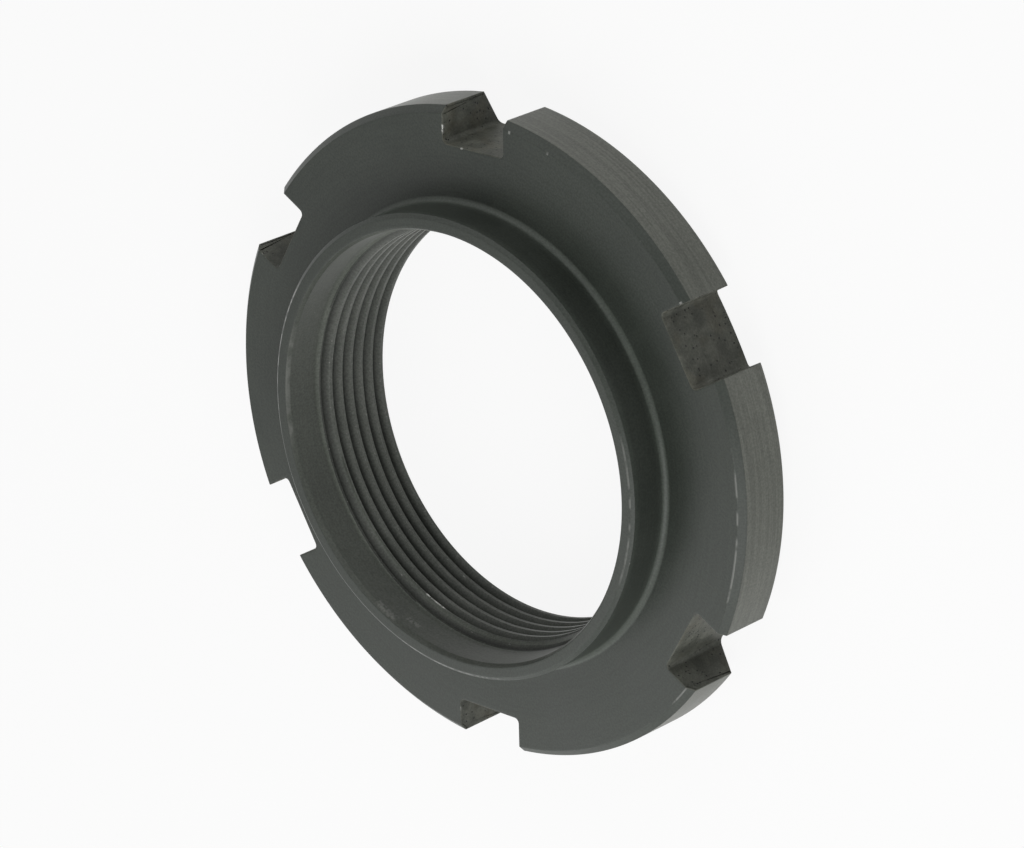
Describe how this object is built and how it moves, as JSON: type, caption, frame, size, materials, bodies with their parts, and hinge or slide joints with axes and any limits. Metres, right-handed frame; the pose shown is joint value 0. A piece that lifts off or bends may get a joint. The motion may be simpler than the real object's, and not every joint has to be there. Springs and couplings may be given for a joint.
{
  "type": "castle nut",
  "caption": "Round castle nut: a flanged ring with spanner slots milled across its rim, a raised collar with a counterbore, and a fine internal thread.",
  "frame": {"origin": "centre of the flat bearing face, on the thread axis", "axes": "+Z runs along the thread axis from the bearing face out of the collar; the slots lie at 0, 60, 120, 180, 240 and 300 degrees from +X"},
  "size_m": [0.0676, 0.068, 0.0134],
  "materials": {
    "black_oxide_steel": "black oxide over turned and milled steel, satin, with bright metal worn through on the edges"
  },
  "bodies": {
    "root": {"castle_nut": "black_oxide_steel"}
  },
  "joints": []
}
